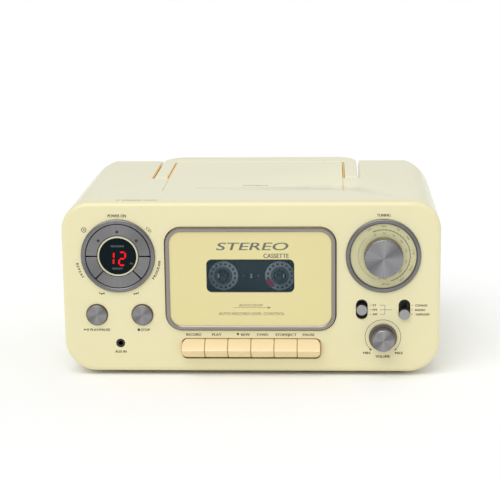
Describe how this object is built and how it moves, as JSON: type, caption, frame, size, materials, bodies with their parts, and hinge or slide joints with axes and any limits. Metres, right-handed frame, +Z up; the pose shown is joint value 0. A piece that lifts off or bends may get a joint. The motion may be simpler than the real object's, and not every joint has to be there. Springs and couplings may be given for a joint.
{
  "type": "mini hifi system",
  "caption": "Portable cassette, disc and radio set: cream cabinet with round dials, a cassette door over piano keys, a top lid and a folding carry handle.",
  "frame": {"origin": "on the supporting surface, under the middle of the bounding box", "axes": "+Z up, front face towards -Y, +X to the user's right"},
  "size_m": [0.28, 0.2126, 0.1356],
  "materials": {
    "cream_face": "smooth moulded cream-yellow plastic, light gloss",
    "cream_case": "smooth moulded pale cream plastic",
    "cream_keys": "warm cream moulded keys",
    "dark_metal_trim": "dark brushed metal trim",
    "satin_metal": "satin metallic grey",
    "spun_metal": "spun metal with radial sheen",
    "silver_plastic": "silver lacquered knobs",
    "smoked_window": "smoked clear plastic",
    "display_glass": "near-black display window",
    "dial_cream": "printed green-cream dial plate",
    "black_plastic": "fine matt black plastic",
    "reel_grey": "grey plastic",
    "zinc_steel": "zinc-plated steel",
    "bright_steel": "polished plated steel",
    "brass_wheel": "turned brass",
    "white_plastic": "white acetal",
    "circuit_green": "solder-masked board",
    "core_steel": "laminated iron core and winding",
    "speaker_paper": "black paper cone",
    "black_rubber": "matt black rubber"
  },
  "bodies": {
    "cabinet": {"front_panel": "cream_face", "rear_cabinet": "cream_case", "rubber_feet": "black_rubber", "housing_screws": "zinc_steel", "mains_inlet": "black_plastic", "main_board": "circuit_green", "mains_transformer": "core_steel", "speaker_drivers": "speaker_paper", "handle_pivot_pins": "bright_steel", "cd_well_deck": "black_plastic", "cd_mech_plate": "zinc_steel", "cd_guide_rods": "bright_steel", "cd_spindle_motor": "zinc_steel", "tape_chassis": "black_plastic", "tape_motor": "zinc_steel", "drive_belt": "black_plastic", "key_shaft": "bright_steel", "display_bezel": "satin_metal", "display_lens": "display_glass", "display_board": "circuit_green", "aux_jack": "black_plastic", "tuning_trim_ring": "dark_metal_trim", "tuning_dial_plate": "dial_cream", "tuning_capacitor": "zinc_steel", "volume_pot": "zinc_steel", "tuner_board": "black_plastic"},
    "handle": {"carry_handle": "cream_case"},
    "cd_lid": {"cd_lid": "cream_case"},
    "cd_hub": {"cd_spindle_hub": "white_plastic"},
    "cd_sled": {"cd_pickup_sled": "black_plastic"},
    "cassette_door": {"cassette_door": "cream_face", "cassette_door_trim": "dark_metal_trim", "cassette_window": "smoked_window", "cassette_holder": "black_plastic"},
    "supply_reel": {"supply_reel_table": "reel_grey"},
    "takeup_reel": {"takeup_reel_table": "reel_grey"},
    "capstan": {"capstan_flywheel": "brass_wheel"},
    "pulley": {"motor_pulley": "brass_wheel"},
    "head_bridge": {"head_bridge": "zinc_steel", "tape_head": "zinc_steel"},
    "pinch_roller": {"pinch_roller": "black_rubber"},
    "key_record": {"key_record": "cream_keys"},
    "key_play": {"key_play": "cream_keys"},
    "key_rewind": {"key_rewind": "cream_keys"},
    "key_fast_forward": {"key_fast_forward": "cream_keys"},
    "key_stop_eject": {"key_stop_eject": "cream_keys"},
    "key_pause": {"key_pause": "cream_keys"},
    "repeat_button": {"repeat_button": "satin_metal"},
    "skip_rocker": {"skip_rocker": "satin_metal"},
    "program_button": {"program_button": "satin_metal"},
    "play_pause_button": {"play_pause_button": "spun_metal"},
    "stop_button": {"stop_button": "spun_metal"},
    "tuning_knob": {"tuning_knob": "spun_metal"},
    "volume_knob": {"volume_knob": "spun_metal"},
    "band_switch": {"band_switch_knob": "silver_plastic"},
    "function_switch": {"function_switch_knob": "silver_plastic"},
    "aerial_base": {"aerial_base": "bright_steel"},
    "aerial_mast": {"aerial_lower_tube": "bright_steel"},
    "aerial_middle": {"aerial_middle_tube": "bright_steel"},
    "aerial_tip": {"aerial_tip": "bright_steel"}
  },
  "joints": [
    {"name": "handle_fold", "type": "hinge", "parent": "cabinet", "child": "handle", "pos_m": [0, 0.00505, 0.13093], "axis": [1, 0, 0], "range_deg": [0, 90]},
    {"name": "cd_lid_hinge", "type": "hinge", "parent": "cabinet", "child": "cd_lid", "pos_m": [0, 0.07265, 0.1338], "axis": [-1, 0, 0], "range_deg": [0, 65]},
    {"name": "cassette_door_hinge", "type": "hinge", "parent": "cabinet", "child": "cassette_door", "pos_m": [0, -0.09435, 0.0362], "axis": [1, 0, 0], "range_deg": [0, 32]},
    {"name": "cd_spindle_spin", "type": "hinge", "parent": "cabinet", "child": "cd_hub", "pos_m": [0, 0.01055, 0.118], "axis": [0, 0, 1], "continuous": true},
    {"name": "cd_sled_slide", "type": "slide", "parent": "cabinet", "child": "cd_sled", "axis": [1, 0, 0], "range_m": [0, 0.032]},
    {"name": "supply_reel_spin", "type": "hinge", "parent": "cabinet", "child": "supply_reel", "pos_m": [-0.02125, -0.07435, 0.0729], "axis": [0, -1, 0], "continuous": true},
    {"name": "takeup_reel_spin", "type": "hinge", "parent": "cabinet", "child": "takeup_reel", "pos_m": [0.02125, -0.07435, 0.0729], "axis": [0, -1, 0], "continuous": true},
    {"name": "capstan_spin", "type": "hinge", "parent": "cabinet", "child": "capstan", "pos_m": [0.027, -0.07435, 0.05], "axis": [0, -1, 0], "continuous": true},
    {"name": "motor_pulley_spin", "type": "hinge", "parent": "cabinet", "child": "pulley", "pos_m": [-0.038, -0.07435, 0.05], "axis": [0, -1, 0], "continuous": true},
    {"name": "head_bridge_lift", "type": "slide", "parent": "cabinet", "child": "head_bridge", "axis": [0, 0, 1], "range_m": [0, 0.005]},
    {"name": "pinch_roller_spin", "type": "hinge", "parent": "head_bridge", "child": "pinch_roller", "pos_m": [0.027, -0.07635, 0.0382], "axis": [0, -1, 0], "continuous": true},
    {"name": "key_record_press", "type": "hinge", "parent": "cabinet", "child": "key_record", "pos_m": [0, -0.08835, 0.025], "axis": [1, 0, 0], "range_deg": [0, 12], "stiffness_Nm_per_rad": 0.08, "springref_deg": -11.46},
    {"name": "key_play_press", "type": "hinge", "parent": "cabinet", "child": "key_play", "pos_m": [0, -0.08835, 0.025], "axis": [1, 0, 0], "range_deg": [0, 12], "stiffness_Nm_per_rad": 0.08, "springref_deg": -11.46},
    {"name": "key_rewind_press", "type": "hinge", "parent": "cabinet", "child": "key_rewind", "pos_m": [0, -0.08835, 0.025], "axis": [1, 0, 0], "range_deg": [0, 12], "stiffness_Nm_per_rad": 0.08, "springref_deg": -11.46},
    {"name": "key_fast_forward_press", "type": "hinge", "parent": "cabinet", "child": "key_fast_forward", "pos_m": [0, -0.08835, 0.025], "axis": [1, 0, 0], "range_deg": [0, 12], "stiffness_Nm_per_rad": 0.08, "springref_deg": -11.46},
    {"name": "key_stop_eject_press", "type": "hinge", "parent": "cabinet", "child": "key_stop_eject", "pos_m": [0, -0.08835, 0.025], "axis": [1, 0, 0], "range_deg": [0, 12], "stiffness_Nm_per_rad": 0.08, "springref_deg": -11.46},
    {"name": "key_pause_press", "type": "hinge", "parent": "cabinet", "child": "key_pause", "pos_m": [0, -0.08835, 0.025], "axis": [1, 0, 0], "range_deg": [0, 12], "stiffness_Nm_per_rad": 0.08, "springref_deg": -11.46},
    {"name": "repeat_button_press", "type": "slide", "parent": "cabinet", "child": "repeat_button", "axis": [0, 1, 0], "range_m": [0, 0.0012], "stiffness_N_per_m": 150, "springref_m": -0.001},
    {"name": "program_button_press", "type": "slide", "parent": "cabinet", "child": "program_button", "axis": [0, 1, 0], "range_m": [0, 0.0012], "stiffness_N_per_m": 150, "springref_m": -0.001},
    {"name": "skip_rocker_tilt", "type": "hinge", "parent": "cabinet", "child": "skip_rocker", "pos_m": [-0.0979, -0.09235, 0.0724], "axis": [0, 0, 1], "range_deg": [-2.5, 2.5], "stiffness_Nm_per_rad": 0.05},
    {"name": "play_pause_button_press", "type": "slide", "parent": "cabinet", "child": "play_pause_button", "axis": [0, 1, 0], "range_m": [0, 0.0015], "stiffness_N_per_m": 150, "springref_m": -0.001},
    {"name": "stop_button_press", "type": "slide", "parent": "cabinet", "child": "stop_button", "axis": [0, 1, 0], "range_m": [0, 0.0015], "stiffness_N_per_m": 150, "springref_m": -0.001},
    {"name": "tuning_turn", "type": "hinge", "parent": "cabinet", "child": "tuning_knob", "pos_m": [0.0979, -0.09435, 0.0919], "axis": [0, 1, 0], "range_deg": [-90, 90]},
    {"name": "volume_turn", "type": "hinge", "parent": "cabinet", "child": "volume_knob", "pos_m": [0.0979, -0.09435, 0.0302], "axis": [0, 1, 0], "range_deg": [-150, 150]},
    {"name": "band_switch_slide", "type": "slide", "parent": "cabinet", "child": "band_switch", "axis": [0, 0, 1], "range_m": [-0.0034, 0.0034]},
    {"name": "function_switch_slide", "type": "slide", "parent": "cabinet", "child": "function_switch", "axis": [0, 0, 1], "range_m": [0, 0.0068]},
    {"name": "aerial_swivel", "type": "hinge", "parent": "cabinet", "child": "aerial_base", "pos_m": [0.1, 0.10315, 0.098], "axis": [0, 1, 0], "range_deg": [0, 180]},
    {"name": "aerial_tilt", "type": "hinge", "parent": "aerial_base", "child": "aerial_mast", "pos_m": [0.1, 0.10315, 0.098], "axis": [0, 0, -1], "range_deg": [0, 90]},
    {"name": "aerial_middle_slide", "type": "slide", "parent": "aerial_mast", "child": "aerial_middle", "axis": [-1, 0, 0], "range_m": [0, 0.115]},
    {"name": "aerial_tip_slide", "type": "slide", "parent": "aerial_middle", "child": "aerial_tip", "axis": [-1, 0, 0], "range_m": [0, 0.115]}
  ],
  "couplings": [
    {"joint": "key_play_press", "follows": "head_bridge_lift", "rad_per_m": 41.888},
    {"joint": "motor_pulley_spin", "follows": "capstan_spin", "ratio": 5.5}
  ]
}
